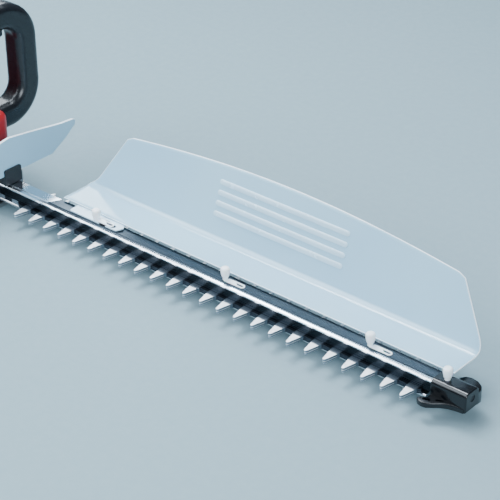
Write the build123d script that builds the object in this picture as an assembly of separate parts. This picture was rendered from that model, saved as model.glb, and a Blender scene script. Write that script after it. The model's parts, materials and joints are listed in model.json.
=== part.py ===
from build123d import *
from math import acos, cos, pi, radians, sin, tan
import os

# Corded hedge trimmer, millimetres. +X runs to the blade tip, +Y is the operator's left (the side
# of the clippings collector), +Z is up. The origin is on the resting plane, under the drive gear.

# ---- driving dimensions ---------------------------------------------------------------------
TOOTH_PITCH = 20.0          # tooth to tooth, each blade
TOOTH_COUNT = 24            # on each side
TOOTH_LENGTH = 16.6         # spine edge to tip
TOOTH_BASE = 4.6            # half-width at the spine
TOOTH_TIP = 1.7             # half-width at the blunt tip
SPINE = 10.5                # half-width of a blade's spine
STRAP = 7.5                 # half-width of the drive strap
BLADE_T = 2.2               # blade thickness
BLADE_GAP = 0.1             # running gap above, between and below the blades
FIRST_TOOTH = 95.0
BLADE_TOP = 18.0            # top face of the upper blade above the resting plane
STROKE = 5.0                # each way, and the throw of each eccentric
RAIL_HALF = 7.5             # lower wall of the rail
LIP_HALF = 8.6              # overhanging lip
RAIL_H = 13.2               # rail height to its ridges
RAIL_X0 = 39.0              # end of the rail in the gearbox neck
RAIL_OVER = 9.0             # rail beyond the blades' ends
BAR_T = 3.5                 # blade support bar
CAP_LEN = 35.0
CAP_PROUD = 0.4             # cap top above the rail's ridges
CAP_HALF = 9.3
EAR = 23.0                  # half-width over the cap's ears
PEG_FIRST = 180.5           # first peg; the last is on the cap
PEG_R, NECK_R = 4.3, 2.4
UNLOCK = 11.0               # travel that frees the collector's keyholes
SHEET = 2.0                 # collector sheet
PAD_T = 1.2                 # pad under the foot, over the rail at the first peg
COLLECTOR_X0 = 128.0
FOOT_Y0, FOOT_Y1 = 9.4, 43.0
LEAN = 19.0                 # degrees, outward lean of the upright
UPRIGHT_END, UPRIGHT_MID = 60.0, 73.0
CUT_REAR, CUT_TIP = 40.0, 33.0  # how far the upright's ends are cut in at the top
GUARD_X, GUARD_T = 62.0, 3.0
GUARD_HALF = 87.0
GEAR_TEETH, PINION_TEETH, MODULE = 70, 10, 1.0
PRESSURE = radians(25)
BACKLASH = 0.2
GEAR_Z0, GEAR_Z1 = 20.0, 28.0
SHAFT_R, DISC_R = 4.5, 10.5
MOTOR_SHAFT_R = 4.0
RUN = 0.03                  # radial running clearance of shafts
CLEAR = 0.3                 # clearance of moving parts that don't bear on each other
CASE_WALL = 4.5
CASE_TOP = 37.0
COVER_T = 4.0
WALL = 2.5                  # plastic shells
POD_R, POD_TOP = 38.0, 150.0
GRIP_HALF = 17.0            # half-width of the rear handle
NOSE_HALF, NOSE_X, NOSE_TOP = 25.0, 39.0, 92.0
NECK_HALF, NECK_X = 11.2, 50.0  # gearbox neck round the rail
GRIP_X = -298.0             # back of the rear handle
BAIL_X, BAIL_DEPTH = 15.0, 26.0
BAIL_HALF, BAIL_Z0, BAIL_Z1, BAIL_R, BAIL_BAND = 80.0, 64.0, 193.0, 42.0, 26.0
PIVOT_X, PIVOT_Z, PIN_R = -150.0, 124.0, 2.5
BUTTON_X, BUTTON_R = -150.0, 6.0
BAR_TRAVEL, BAR_HALF = 4.0, 40.0
CORD_R = 4.0                # bore of the cord inlet

MOTOR_X = -MODULE * (GEAR_TEETH + PINION_TEETH) / 2
UPPER_Z0 = BLADE_TOP - BLADE_T
LOWER_Z0 = UPPER_Z0 - BLADE_GAP - BLADE_T
BAR_Z1 = LOWER_Z0 - BLADE_GAP
RAIL_Z0 = BLADE_TOP + BLADE_GAP
RAIL_TOP = BLADE_TOP + RAIL_H
FLAT_Z = RAIL_TOP - 0.5         # flat top of the rail behind its ridge
PAD_Z0 = RAIL_TOP + CLEAR
SHEET_Z0 = PAD_Z0 + PAD_T
BLADE_X1 = FIRST_TOOTH + TOOTH_PITCH * (TOOTH_COUNT - 1) + 8
RAIL_X1 = BLADE_X1 + RAIL_OVER
SCREW_X = (RAIL_X0 + 19,) + tuple(145 + (RAIL_X1 - 172) / 4 * k for k in range(5))
PEG_STEM = NECK_R - 0.5         # part of a peg that sits in the rail
PEG_X = (PEG_FIRST, (PEG_FIRST + RAIL_X1 - 68.5) / 2, RAIL_X1 - 68.5, RAIL_X1 + 10)
COLLECTOR_X1 = RAIL_X1 + 11
CASE_R = MODULE * GEAR_TEETH / 2 + 7
SCREW_R, BUSH_R = 2.0, 3.5
SHELL_SCREWS = ((-108, 56), (-108, 134), (-200, 52), (-284, 126), (-284, 62), (30, 50))
BAIL_MID = BAIL_HALF - BAIL_BAND / 2
BAIL_SCREWS = ((BAIL_MID, 104), (BAIL_MID, 150), (-BAIL_MID, 104), (-BAIL_MID, 150),
               (40, BAIL_Z0 + 13), (-40, BAIL_Z0 + 13))
COVER_SCREWS = ((28, 37), (28, -37), (-68, 26), (-68, -26), (42, 18), (42, -18))

PARTS = {}


# ---- helpers --------------------------------------------------------------------------------
def block(x0, x1, y0, y1, z0, z1):
    """A box given by its limits."""
    return Pos((x0 + x1) / 2, (y0 + y1) / 2, (z0 + z1) / 2) * Box(x1 - x0, y1 - y0, z1 - z0)


def soft_block(x0, x1, half, z0, z1, radius):
    """A box centred on Y with every edge rounded."""
    solid = block(x0, x1, -half, half, z0, z1)
    return fillet(solid.edges(), radius)


def rod(radius, z0, z1, x=0.0, y=0.0):
    """A vertical cylinder."""
    return Pos(x, y, (z0 + z1) / 2) * Cylinder(radius, z1 - z0)


def rod_x(radius, x0, x1, y, z):
    """A cylinder along X."""
    return Pos((x0 + x1) / 2, y, z) * Rot(0, 90, 0) * Cylinder(radius, x1 - x0)


def rod_y(radius, y0, y1, x, z):
    """A cylinder along Y."""
    return Pos(x, (y0 + y1) / 2, z) * Rot(90, 0, 0) * Cylinder(radius, y1 - y0)


def ring(r_in, r_out, z0, z1, x=0.0, y=0.0):
    """A vertical tube."""
    return rod(r_out, z0, z1, x, y) - rod(r_in, z0 - 1, z1 + 1, x, y)


def outline(points, radius=0.0):
    """A closed polygon, with its corners rounded if a radius is given."""
    face = make_face(Polyline(*points, close=True))
    return fillet(face.vertices(), radius) if radius else face


def plate_z(face, z0, z1):
    """Raise an XY outline between two heights."""
    return Pos(0, 0, z0) * extrude(face, amount=z1 - z0)


def plate_y(face, y0, y1):
    """Raise an outline drawn as (X, Z) between two Y values."""
    plane = Plane(origin=(0, y0, 0), x_dir=(1, 0, 0), z_dir=(0, -1, 0))
    return extrude(plane * face, amount=y0 - y1)


def plate_x(face, x0, x1):
    """Raise an outline drawn as (Y, Z) between two X values."""
    plane = Plane(origin=(x0, 0, 0), x_dir=(0, 1, 0), z_dir=(1, 0, 0))
    return extrude(plane * face, amount=x1 - x0)


def coil(radius, wire, pitch, height, place):
    """A compression spring standing at the given place."""
    path = Helix(pitch=pitch, height=height, radius=radius)
    start = Plane(origin=path @ 0, z_dir=path % 0)
    return place * sweep(start * Circle(wire), path=path)


def keep(name, shape):
    """Store one finished sub-part under its node name."""
    PARTS[name] = shape


# ---- cutting gear ---------------------------------------------------------------------------
def blade(z0):
    """One reciprocating blade: teeth on both edges, bush slots and the eccentric's yoke."""
    edge = [(78.0, STRAP), (84.0, SPINE)]
    for i in range(TOOTH_COUNT):
        x = FIRST_TOOTH + TOOTH_PITCH * i
        tip = SPINE + TOOTH_LENGTH
        edge += [(x - TOOTH_BASE - 1.2, SPINE), (x - TOOTH_BASE, SPINE + 1.4),
                 (x - TOOTH_TIP, tip - 2.0), (x - TOOTH_TIP * 0.55, tip - 0.4), (x, tip),
                 (x + TOOTH_TIP * 0.55, tip - 0.4), (x + TOOTH_TIP, tip - 2.0),
                 (x + TOOTH_BASE, SPINE + 1.4), (x + TOOTH_BASE + 1.2, SPINE)]
    edge += [(BLADE_X1, SPINE - 1.5)]
    points = [(24.0, STRAP)] + edge + [(x, -y) for x, y in reversed(edge)] + [(24.0, -STRAP)]
    body = plate_z(outline(points), z0, z0 + BLADE_T)
    slot_x, slot_y = DISC_R + 2 * STROKE + CLEAR, DISC_R + STROKE + CLEAR
    yoke = RectangleRounded(2 * slot_x + 10, 2 * slot_y + 10, 7)
    body += plate_z(yoke, z0, z0 + BLADE_T)
    body -= plate_z(RectangleRounded(2 * slot_x, 2 * slot_y, 4), z0 - 1, z0 + BLADE_T + 1)
    for x in SCREW_X:
        slot = SlotOverall(2 * (BUSH_R + STROKE + 0.4), 2 * (BUSH_R + CLEAR))
        body -= plate_z(Pos(x, 0) * slot, z0 - 1, z0 + BLADE_T + 1)
    return body


def guide_rail():
    """Hollow extruded rail over the blades, with two lips, a groove and a ridge."""
    top = RAIL_TOP
    section = [(-RAIL_HALF, RAIL_Z0), (-RAIL_HALF, top - 3.9), (-LIP_HALF, top - 3.0),
               (-LIP_HALF, top - 1.8), (-LIP_HALF + 0.6, top - 1.1), (-LIP_HALF + 1.9, top - 0.8),
               (-5.9, top - 1.2), (-4.9, top - 0.9), (-4.4, top), (-3.8, top), (-3.4, FLAT_Z),
               (LIP_HALF - 1.2, FLAT_Z), (LIP_HALF, top - 1.6), (LIP_HALF, top - 3.0),
               (RAIL_HALF, top - 3.9), (RAIL_HALF, RAIL_Z0)]
    rail = plate_x(outline(section), RAIL_X0, RAIL_X1)
    rail -= block(RAIL_X0 - 1, RAIL_X1 + 1, -5.8, 5.8, RAIL_Z0 + 2.2, RAIL_TOP - 3.6)
    for x in SCREW_X:
        rail -= rod(SCREW_R, RAIL_Z0 - 1, RAIL_Z0 + 3, x)
    for x in PEG_X[:3]:
        rail -= rod(PEG_STEM, FLAT_Z - 4.5, RAIL_TOP + 1, x)
    return rail


def blade_fixings():
    """Support bar, bushes, screws and nuts that hold the blades to the rail."""
    bar = block(RAIL_X0, BLADE_X1 + 4, -8, 8, BAR_Z1 - BAR_T, BAR_Z1)
    bar = chamfer(bar.edges().filter_by(Axis.X), 0.8)
    for x in SCREW_X:
        bar -= rod(SCREW_R, BAR_Z1 - BAR_T - 1, BAR_Z1 + 1, x)
    keep("blade_support_bar", bar)
    low = BAR_Z1 - BAR_T
    keep("blade_bushes", Part() + [ring(SCREW_R, BUSH_R, BAR_Z1, RAIL_Z0, x) for x in SCREW_X])
    screws = [rod(3.6, low - 2.0, low, x) - rod(1.4, low - 3, low - 1, x) for x in SCREW_X]
    screws += [rod(SCREW_R, low, RAIL_Z0 + 7, x) for x in SCREW_X]
    keep("blade_screws", Part() + screws)
    nuts = [plate_z(Pos(x, 0) * RegularPolygon(4.0, 6), RAIL_Z0 + 2.2, RAIL_Z0 + 5.4)
            - rod(SCREW_R, RAIL_Z0, RAIL_Z0 + 9, x) for x in SCREW_X]
    keep("blade_nuts", Part() + nuts)


def end_cap():
    """Black moulded cap: square nose, plug in the rail, low front ear and raised rear ear."""
    x0, x1 = RAIL_X1, RAIL_X1 + CAP_LEN
    z0, top = BLADE_TOP - 4.3, RAIL_TOP + CAP_PROUD
    body = block(x0, x1, -CAP_HALF, CAP_HALF, z0, top)
    body = fillet(body.edges().filter_by(Axis.X).group_by(Axis.Z)[-1], 4.6)
    body = fillet(body.faces().sort_by(Axis.X)[-1].edges(), 1.2)
    low = [(x1 - 2, 8), (x1 - 2, 9.7), (x1 - 9, 10.6), (x1 - 15, 12.2), (x1 - 20.5, 15),
           (x1 - 25.5, 19), (x1 - 30, 22.4), (x1 - 34, EAR), (x1 - 38, EAR - 0.8), (x1 - 40.5, EAR - 3),
           (x1 - 39.5, 16.5), (x0 + 0.5, 14), (x0 + 0.5, 8)]
    front = plate_z(outline([(x, -y) for x, y in low]), z0 - 0.5, z0 + 4)
    front = fillet(front.faces().sort_by(Axis.Z)[-1].edges(), 0.8)
    for slot in ([(x1 - 19, 11), (x1 - 26, 14.6), (x1 - 27, 12.4), (x1 - 21, 10)],
                 [(x1 - 28.5, 17), (x1 - 36, 19.6), (x1 - 36, 16.8), (x1 - 31, 15)]):
        front -= plate_z(outline([(x, -y) for x, y in slot], 0.6), z0, z0 + 6)
    high = [(x1 - 0.6, 8), (x1 - 0.6, 13.5), (x1 - 3.5, 18.5), (x1 - 9, EAR - 1), (x1 - 16, EAR),
            (x1 - 21, EAR - 1.5), (x1 - 24, 17), (x1 - 25, 8)]
    rear = plate_z(outline(high), z0 - 0.5, z0 + 12)
    rear = fillet(rear.faces().sort_by(Axis.Z)[-1].edges().sort_by(Axis.Y)[1:], 2.0)
    body += front + rear
    body += block(x0 - 10, x0 + 1, -5.6, 5.6, RAIL_Z0 + 2.4, RAIL_TOP - 3.8)
    x = PEG_X[3]
    body -= rod(PEG_STEM, FLAT_Z - 4.5, FLAT_Z + 1, x) + rod(NECK_R, FLAT_Z, RAIL_TOP + 2, x)
    body -= rod_x(1.6, x0 - 11, x1 + 1, 0, RAIL_TOP - 7)
    body -= rod_x(3.0, x1 - 2.4, x1 + 1, 0, RAIL_TOP - 7)
    keep("end_cap", body)
    screw = rod_x(1.6, x0 - 9, x1 - 2.4, 0, RAIL_TOP - 7) + rod_x(3.0, x1 - 2.4, x1 - 0.6, 0, RAIL_TOP - 7)
    keep("end_cap_screw", screw)


def pegs():
    """Barrel pegs on the rail and cap; the first three have a leaf and a loop as a foot."""
    base, top = FLAT_Z, SHEET_Z0 + 0.3
    profile = [(0, base - 4.5), (PEG_STEM, base - 4.5), (PEG_STEM, base), (NECK_R, base),
               (NECK_R, top), (PEG_R - 1.0, top + 1.2), (PEG_R - 0.3, top + 4), (PEG_R, top + 6.4),
               (PEG_R, top + 8.4), (PEG_R - 0.6, top + 9.6), (PEG_R - 1.8, top + 10.4), (0, top + 10.6)]
    face = make_face(Polyline(*[(r, 0, z) for r, z in profile], close=True))
    peg = revolve(face, Axis.Z)
    leaf = outline([(0, -3.2), (12, -3.2), (16, -2.2), (11.5, 1.4), (7.5, 2.6), (3, 2.2)], 0.7)
    loop = Pos(14.5, -0.2) * (SlotOverall(16, 5.6) - SlotOverall(13.4, 3.0))
    group = Part()
    for i, x in enumerate(PEG_X):
        group += Pos(x, 0, 0) * peg
        if i < 3:
            z0 = SHEET_Z0 + 0.1 if i == 0 else FLAT_Z
            group += plate_z(Pos(x, 0) * (leaf + loop), z0, z0 + 0.8)
    keep("collector_pegs", group)


def keyhole():
    """Narrow, wide, narrow slot running forward from a peg."""
    narrow = Pos(UNLOCK, 0) * SlotOverall(2 * UNLOCK + 2 * (NECK_R + CLEAR), 2 * (NECK_R + CLEAR))
    return narrow + Pos(UNLOCK, 0) * Ellipse(6.5, PEG_R + 0.6)


def collector_pad():
    """Thin lobed pad under the collector's foot, with the keyhole for the first peg."""
    x = PEG_X[0]
    plan = outline([(x - 32, -4), (x + 29, -4), (x + 32, 3), (x + 27, 11), (x + 20, 22), (x + 6, 34),
                    (x - 12, 38), (x - 30, 36), (x - 35, 26), (x - 33, 12)], 2.0)
    pad = plate_z(plan, PAD_Z0, PAD_Z0 + PAD_T)
    keep("collector_pad", pad - plate_z(Pos(x, 0) * keyhole(), PAD_Z0 - 1, PAD_Z0 + PAD_T + 1))


def collector():
    """Bent translucent sheet: flat foot, bowed upright and four stiffening bars."""
    z0, z1 = SHEET_Z0, SHEET_Z0 + SHEET
    x0, x1 = COLLECTOR_X0, COLLECTOR_X1
    foot = plate_z(outline([(x0, FOOT_Y0), (x1, FOOT_Y0), (x1, FOOT_Y1), (x0, FOOT_Y1)]), z0, z1)
    length = x1 - CUT_TIP - x0 - CUT_REAR
    mid = x0 + CUT_REAR + length / 2
    crown = UPRIGHT_MID - UPRIGHT_END
    steps = [2 * i / 14 - 1 for i in range(15)]
    top = [(mid + length * t / 2, UPRIGHT_END + crown * (1 - t * t)) for t in steps]
    shape = [(x0, 0), (x0 + 3, 3), (x0 + 11, 10)] + top + [(x1 - 1, 13), (x1 + 0.5, 6), (x1, 0)]
    normal = (0, -cos(radians(LEAN)), sin(radians(LEAN)))
    plane = Plane(origin=(0, FOOT_Y1, z0), x_dir=(1, 0, 0), z_dir=normal)
    panel = extrude(plane * outline(shape), amount=SHEET)
    corner = rod_x(SHEET, x0, x1, FOOT_Y1, z1) & block(x0, x1, FOOT_Y1 - 0.1, FOOT_Y1 + 4, z0, z1)
    sheet = foot + panel + corner
    inner = [(mid - 75, 22), (mid + 75, 22), (mid + 75, 27), (mid - 75, 27)]
    for k in range(4):
        bar = outline([(x, y + 10 * k) for x, y in inner], 2.0)
        sheet += extrude(plane * bar, amount=SHEET + 0.8)
    return sheet


# ---- drive ----------------------------------------------------------------------------------
def gear_outline(teeth, addendum, dedendum, phase=0.0):
    """Involute gear outline with thinned teeth."""
    pitch_r = MODULE * teeth / 2
    base_r = pitch_r * cos(PRESSURE)
    tip_r, root_r = pitch_r + addendum, pitch_r - dedendum
    inv = tan(PRESSURE) - PRESSURE
    half = pi / (2 * teeth) - BACKLASH / 4 / pitch_r
    start = max(base_r, root_r + 0.02)
    flank = []
    for k in range(5):
        r = start + (tip_r - start) * k / 4
        a = acos(min(1.0, base_r / r))
        flank.append((r, half + inv - (tan(a) - a)))
    points = []
    for i in range(teeth):
        centre = phase + 2 * pi * i / teeth
        side = [(root_r, flank[0][1] + (0.02 if base_r > root_r else 0.0))] + flank
        points += [(r * cos(centre - a), r * sin(centre - a)) for r, a in side]
        points += [(r * cos(centre + a), r * sin(centre + a)) for r, a in reversed(side)]
    return outline(points)


def drive_train():
    """Gear, its shaft and the two opposed eccentrics, with their bearings."""
    gear = plate_z(gear_outline(GEAR_TEETH, 0.85, 1.25), GEAR_Z0, GEAR_Z1)
    gear += ring(SHAFT_R, 9, BLADE_TOP + 0.2, GEAR_Z0)
    gear -= ring(12, 30, GEAR_Z1 - 2, GEAR_Z1 + 1)
    for k in range(6):
        gear -= rod(4, GEAR_Z0 - 1, GEAR_Z1 + 1, 21 * cos(pi * k / 3), 21 * sin(pi * k / 3))
    keep("drive_gear", gear - rod(SHAFT_R, BLADE_TOP - 1, GEAR_Z1 + 1))
    keep("upper_eccentric", rod(DISC_R, UPPER_Z0, BLADE_TOP, 0, STROKE) - rod(SHAFT_R, 0, 40))
    keep("lower_eccentric", rod(DISC_R, LOWER_Z0, UPPER_Z0, 0, -STROKE) - rod(SHAFT_R, 0, 40))
    keep("gear_shaft", rod(SHAFT_R, 2.6, CASE_TOP + 5))
    keep("gear_lower_bush", ring(SHAFT_R + RUN, 8, 2.2, 10))
    keep("gear_upper_bearing", ring(SHAFT_R + RUN, 11, GEAR_Z1 + 4, CASE_TOP))
    keep("felt_seal", ring(SHAFT_R + 0.35, 9, 10, LOWER_Z0 - 0.5))


def motor():
    """Universal motor: armature on its shaft, stator, brushes and bearings."""
    x = MOTOR_X
    keep("motor_pinion", plate_z(Pos(x, 0) * gear_outline(PINION_TEETH, 0.85, 1.2, pi / PINION_TEETH),
                                 GEAR_Z0 - 0.5, GEAR_Z1 + 1) - rod(2.4, 0, 50, x))
    keep("motor_shaft", rod(2.4, GEAR_Z0 - 2, GEAR_Z1 + 1, x) + rod(MOTOR_SHAFT_R, GEAR_Z1 + 1, 141, x))
    core = ring(MOTOR_SHAFT_R, 17.5, 60, 98, x)
    for k in range(12):
        a = pi * k / 6
        core -= Pos(x, 0, 0) * Rot(0, 0, 30 * k) * block(11, 18, -1.1, 1.1, 59, 99)
    keep("armature_core", core)
    ends = ring(MOTOR_SHAFT_R, 15, 98, 107, x) + ring(MOTOR_SHAFT_R, 15, 55, 60, x)
    keep("armature_windings", fillet(ends.edges().filter_by(GeomType.CIRCLE).group_by(Axis.Z)[-1], 2))
    bars = ring(MOTOR_SHAFT_R, 10.5, 109, 123, x)
    for k in range(12):
        bars -= Pos(x, 0, 0) * Rot(0, 0, 30 * k) * block(9.8, 11, -0.3, 0.3, 108, 124)
    keep("commutator", bars)
    fan = ring(MOTOR_SHAFT_R, 26, 43, 45, x) + ring(MOTOR_SHAFT_R, 9, 45, 53, x)
    for k in range(9):
        fan += Pos(x, 0, 0) * Rot(0, 0, 40 * k) * block(8, 25.5, -0.8, 0.8, 45, 53)
    keep("cooling_fan", fan)
    stator = ring(18.2, 30, 60, 98, x)
    for s in (1, -1):
        stator -= block(x - 9, x + 9, min(s * 20, s * 27), max(s * 20, s * 27), 59, 99)
    keep("stator_core", stator)
    coils = Part()
    for s in (1, -1):
        for z0, z1 in ((98, 106), (54.5, 60)):
            coils += (ring(19, 27.5, z0, z1, x) & block(x - 24, x + 24, min(s * 9, s * 28),
                                                        max(s * 9, s * 28), z0, z1))
    keep("field_coils", coils)
    holders, brushes = Part(), Part()
    for s in (1, -1):
        y0, y1 = sorted((s * 13, s * 31))
        holders += block(x - 6, x + 6, y0, y1, 110, 122) - block(x - 4, x + 4, y0 - 1, y1 + 1, 112, 120)
        b0, b1 = sorted((s * 10.8, s * 27))
        brushes += block(x - 4, x + 4, b0, b1, 112, 120)
    keep("brush_holders", holders)
    keep("carbon_brushes", brushes)
    bracket = ring(11, POD_R - WALL, 128, 131, x) + ring(11, 14, 128, 139, x)
    for s in (1, -1):
        bracket -= block(x - 16, x + 16, min(s * 19, s * 30), max(s * 19, s * 30), 127, 132)
    keep("motor_end_bracket", bracket)
    keep("motor_upper_bearing", ring(MOTOR_SHAFT_R + RUN, 11, 131, 139, x))
    keep("motor_lower_bearing", ring(MOTOR_SHAFT_R + RUN, 11, GEAR_Z1 + 4, CASE_TOP, x))


def gearbox():
    """Casting over the gears, its bottom cover and the screws between them."""
    outer = rod(CASE_R, COVER_T, CASE_TOP) + rod(34, COVER_T, CASE_TOP, MOTOR_X)
    outer += block(MOTOR_X, 0, -34, 34, COVER_T, CASE_TOP)
    outer += block(20, NECK_X, -NECK_HALF, NECK_HALF, COVER_T, CASE_TOP)
    plan = Circle(CASE_R + 1.5) + Pos(MOTOR_X, 0) * Circle(36) + Pos(MOTOR_X / 2, 0) * Rectangle(40, 72)
    plan += Pos((20 + NECK_X) / 2, 0) * Rectangle(NECK_X - 20, 2 * NECK_HALF + 3)
    for x, y in COVER_SCREWS:
        outer += rod(6, COVER_T, COVER_T + 14, x, y)
        plan += Pos(x, y) * Circle(7)
    roof = GEAR_Z1 + 3
    case = outer - rod(CASE_R - CASE_WALL, COVER_T - 1, roof) - rod(14, COVER_T - 1, roof, MOTOR_X)
    case -= block(0, NECK_X + 1, -LIP_HALF - 0.1, LIP_HALF + 0.1, COVER_T - 1, RAIL_TOP + 0.2)
    for x, r in ((0, SHAFT_R), (MOTOR_X, MOTOR_SHAFT_R)):
        case -= rod(11, GEAR_Z1 + 4, CASE_TOP + 1, x) + rod(r + 1.5, roof - 1, CASE_TOP, x)
    cover = plate_z(plan, 0, COVER_T)
    cover += rod(11, COVER_T, 10)
    cover -= rod(8, 2.2, 11)
    screws = Part()
    for x, y in COVER_SCREWS:
        case -= rod(1.7, COVER_T - 1, COVER_T + 11, x, y)
        cover -= rod(1.7, -1, COVER_T + 1, x, y) + rod(3.4, -1, 2.2, x, y)
        screws += rod(1.7, 2.2, COVER_T + 11, x, y) + (rod(3.2, 0.4, 2.2, x, y) - rod(1.2, 0, 1.4, x, y))
    keep("gearbox_housing", case)
    keep("gearbox_bottom_cover", cover)
    keep("gearbox_cover_screws", screws)


# ---- guard ----------------------------------------------------------------------------------
def hand_guard():
    """Translucent guard sheet, its holder on the gearbox neck and two screws."""
    half = [(54, 41.3), (74, 52.5), (GUARD_HALF - 0.5, 62), (GUARD_HALF, 66.5), (GUARD_HALF - 2.5, 68),
            (68, 69.2), (47.7, 72.4), (27.6, 75.6)]
    points = half + [(0, 79.5)] + [(-y, z) for y, z in reversed(half)]
    sheet = plate_x(outline(points), GUARD_X, GUARD_X + GUARD_T)
    holder = block(43, 67, -10.5, 10.5, CASE_TOP, CASE_TOP + 11)
    holder = fillet(holder.edges().filter_by(Axis.X).sort_by(Axis.Z)[-2:], 2)
    holder += block(NECK_X + CLEAR, 67, -10.5, 10.5, RAIL_TOP + CLEAR, CASE_TOP)
    holder -= block(GUARD_X, GUARD_X + GUARD_T, -12, 12, 41.3, CASE_TOP + 20)
    screws = Part()
    for y in (6, -6):
        hole = rod_x(1.6, 42, 66, y, 44.6)
        sheet, holder = sheet - hole, holder - hole - rod_x(2.8, 42, 45, y, 44.6)
        screws += rod_x(1.6, 45, 65.8, y, 44.6) + rod_x(2.6, 43.6, 45, y, 44.6)
    keep("hand_guard", sheet)
    keep("guard_holder", holder)
    keep("guard_screws", screws)


# ---- housing --------------------------------------------------------------------------------
GRIP_OUT = [(-60, 40), (-60, 148), (-110, 150), (-262, 143), (GRIP_X, 116), (GRIP_X, 66), (-272, 40)]
GRIP_HOLE = [(-138, 64), (-138, 113), (-254, 109), (-267, 96), (-267, 64)]


def grip_loop(inset):
    """Rear D handle as a solid, shrunk by the inset on every side."""
    face = offset(outline(GRIP_OUT, 18), -inset) if inset else outline(GRIP_OUT, 18)
    hole = offset(outline(GRIP_HOLE, 10), inset) if inset else outline(GRIP_HOLE, 10)
    half = GRIP_HALF - inset
    solid = plate_y(face - hole, -half, half)
    rims = solid.faces().sort_by(Axis.Y)[0].edges() + solid.faces().sort_by(Axis.Y)[-1].edges()
    return fillet(rims, 7 - inset)


def housing_solid(inset):
    """Motor pod, nose, rear body and rear handle as one solid, shrunk by the inset."""
    z0 = CASE_TOP - (1 if inset else 0)
    pod = rod(POD_R - inset, z0, POD_TOP - inset, MOTOR_X)
    pod = fillet(pod.faces().sort_by(Axis.Z)[-1].edges(), 14 - inset)
    nose = block(MOTOR_X, NOSE_X - inset, -NOSE_HALF + inset, NOSE_HALF - inset, z0, NOSE_TOP - inset)
    ends = nose.edges().filter_by(Axis.Z).group_by(Axis.X)[-1] + nose.faces().sort_by(Axis.Z)[-1].edges()
    nose = fillet(ends, 9 - inset)
    rear = soft_block(-126 + inset, MOTOR_X, 27 - inset, 42 + inset, 140 - inset, 10 - inset)
    return pod + nose + rear + grip_loop(inset)


def housing():
    """The two clamshell halves, split on the centre plane, with their fittings."""
    outer, inner = housing_solid(0), housing_solid(WALL)
    shell = outer - inner
    for x, z in SHELL_SCREWS:
        shell += rod_y(4.6, -40, 40, x, z) & outer
    web = block(BUTTON_X - 8, BUTTON_X + 8, -GRIP_HALF, GRIP_HALF, 131, 133) & outer
    bosses = rod_y(5, -GRIP_HALF, -9, PIVOT_X, PIVOT_Z) + rod_y(5, 9, GRIP_HALF, PIVOT_X, PIVOT_Z)
    shell += web + (bosses & outer)
    shell -= rod_y(PIN_R, -14, 14, PIVOT_X, PIVOT_Z)
    shell -= block(-220, -143, -8.8, 8.8, 100, 118)
    shell -= rod(BUTTON_R + CLEAR, 140, 160, BUTTON_X)
    shell -= rod_x(9, GRIP_X - 5, GRIP_X + 12, 0, 88)
    for k in range(6):
        shell -= block(MOTOR_X - 20, MOTOR_X + 20, -50, 50, 104 + 6 * k, 107 + 6 * k) & (
            rod(60, 0, 200, MOTOR_X) - rod(POD_R - WALL - 3.2, 0, 200, MOTOR_X))
    screws = Part()
    for x, z in SHELL_SCREWS:
        half = NOSE_HALF if x > 0 else (27 if x > -126 else GRIP_HALF)
        shell -= rod_y(1.8, -half - 1, half - 4, x, z) + rod_y(3.6, -half - 1, -half + 4, x, z)
        screws += rod_y(1.8, -half + 4, half - 5, x, z) + rod_y(3.4, -half + 1.6, -half + 4, x, z)
    keep("housing_left", shell & block(-400, 200, 0, 100, 0, 300))
    keep("housing_right", shell & block(-400, 200, -100, 0, 0, 300))
    keep("housing_screws", screws)
    pad = grip_loop(-1.0) - grip_loop(0)
    keep("rear_grip_pad", pad & block(-252, -178, -30, 30, 126, 160))


def controls():
    """Rear trigger, its pin and spring, the lock-off button and the switch they work."""
    top = PIVOT_Z - 8
    side = [(PIVOT_X + 5, PIVOT_Z + 2), (PIVOT_X + 4, PIVOT_Z - 8), (PIVOT_X - 6, 107), (PIVOT_X - 20, 99),
            (PIVOT_X - 50, 97), (PIVOT_X - 62, 101), (PIVOT_X - 65, 108), (PIVOT_X - 65, top),
            (PIVOT_X - 10, top + 3), (PIVOT_X - 5, PIVOT_Z + 3)]
    lever = plate_y(outline(side), -8, 8) + rod_y(6, -8, 8, PIVOT_X, PIVOT_Z)
    lever -= block(PIVOT_X - 8, PIVOT_X + 8, -3.4, 3.4, PIVOT_Z - 9, PIVOT_Z + 8)
    lever -= rod_y(PIN_R + 0.05, -9, 9, PIVOT_X, PIVOT_Z)
    keep("rear_trigger", lever)
    keep("trigger_pin", rod_y(PIN_R, -14, 14, PIVOT_X, PIVOT_Z))
    place = Pos(PIVOT_X, 2.4, PIVOT_Z) * Rot(90, 0, 0)
    keep("trigger_spring", coil(3.6, 0.45, 1.2, 4.8, place))
    keep("main_switch", block(-212, -176, -9, 9, 129, 139.5) + block(-206, -182, -7, 7, 139.5, 141))
    stem = rod(BUTTON_R, 138, 153.5, BUTTON_X)
    stem = fillet(stem.faces().sort_by(Axis.Z)[-1].edges(), 2)
    flange = rod(BUTTON_R + 2.2, 142.2, 144.2, BUTTON_X)
    keep("lock_off_button", stem + flange - rod(3.4, 137, 142, BUTTON_X))
    keep("lock_off_spring", coil(2.6, 0.4, 1.9, 7.4, Pos(BUTTON_X, 0, 133.5)))
    gland = rod_x(8.9, GRIP_X - 2, GRIP_X + 10, 0, 88) + rod_x(10.6, GRIP_X - 5, GRIP_X - 0.01, 0, 88)
    gland += rod_x(7, GRIP_X - 16, GRIP_X - 4, 0, 88)
    keep("cord_inlet", gland - rod_x(CORD_R, GRIP_X - 20, GRIP_X + 12, 0, 88))
    keep("suppression_capacitor", block(-96, -84, -11, 11, 70, 96))


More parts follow.
